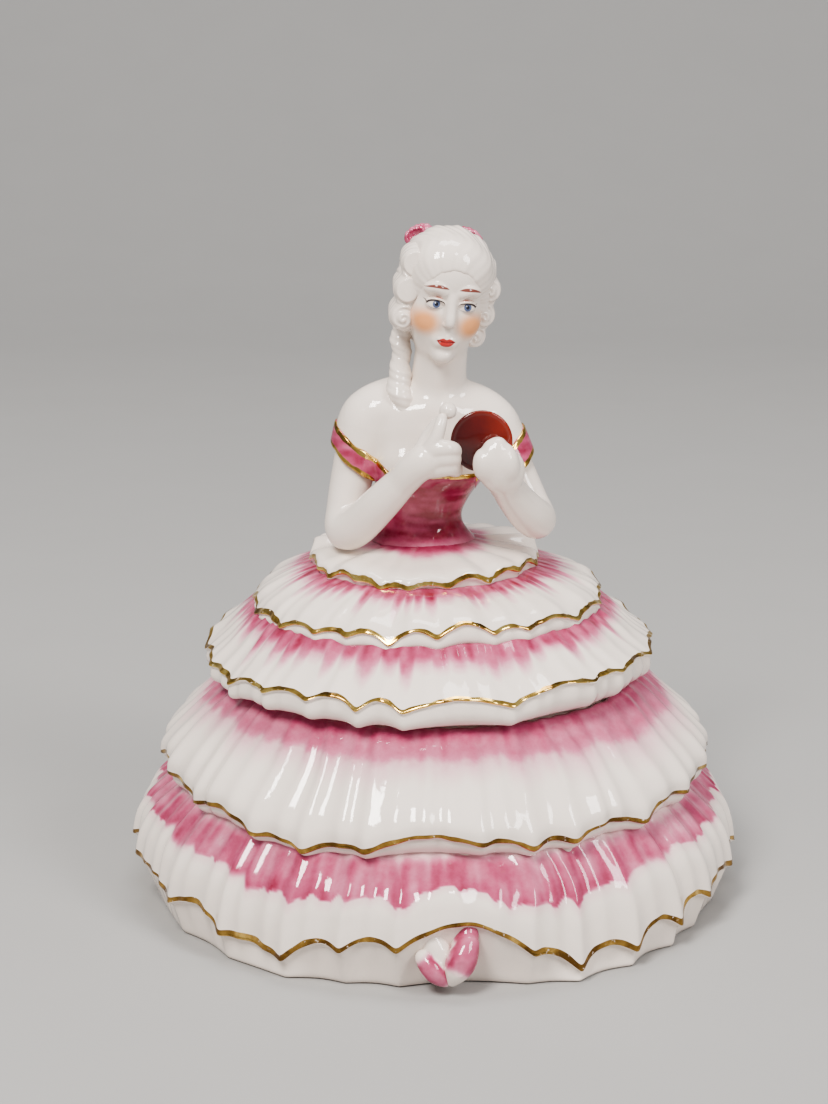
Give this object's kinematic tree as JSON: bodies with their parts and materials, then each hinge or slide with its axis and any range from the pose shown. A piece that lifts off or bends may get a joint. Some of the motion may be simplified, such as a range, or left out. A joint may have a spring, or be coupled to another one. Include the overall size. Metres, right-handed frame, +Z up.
{
  "type": "figural trinket box",
  "caption": "Round glazed ceramic box shaped as a lady in a tiered, pleated crinoline; the upper tiers and the half figure lift off as its lid.",
  "frame": {"origin": "middle of the foot ring, on the surface the box stands on", "axes": "+Z up, -Y the way the lady faces, +X to her left"},
  "size_m": [0.1405, 0.1417, 0.15],
  "materials": {
    "white_glaze": "glossy clear glaze over warm white",
    "pink_washed_glaze": "white glaze with a brushed pink wash and a gilt hem line",
    "deep_pink_glaze": "deep pink under clear glaze, gilt edges",
    "dark_red_glaze": "dark red-brown, high gloss"
  },
  "bodies": {
    "box": {"bowl": "white_glaze", "foot_ring": "white_glaze", "hem_flounce": "pink_washed_glaze", "upper_flounce": "pink_washed_glaze", "right_shoe": "deep_pink_glaze", "left_shoe": "deep_pink_glaze"},
    "lid": {"lid_shell": "white_glaze", "locating_flange": "white_glaze", "lid_hem_flounce": "pink_washed_glaze", "middle_flounce": "pink_washed_glaze", "top_flounce": "pink_washed_glaze", "bodice": "deep_pink_glaze", "head_and_bust": "white_glaze", "right_arm": "white_glaze", "left_arm": "white_glaze", "right_sleeve_band": "deep_pink_glaze", "left_sleeve_band": "deep_pink_glaze", "compact": "dark_red_glaze", "powder_puff": "white_glaze", "hair": "white_glaze", "right_side_curls": "white_glaze", "left_side_curls": "white_glaze", "nape_ringlet": "white_glaze", "hair_bow": "deep_pink_glaze"}
  },
  "joints": [
    {"name": "lid_lift", "type": "slide", "parent": "box", "child": "lid", "axis": [0, 0, 1], "range_m": [0, 0.08]}
  ]
}
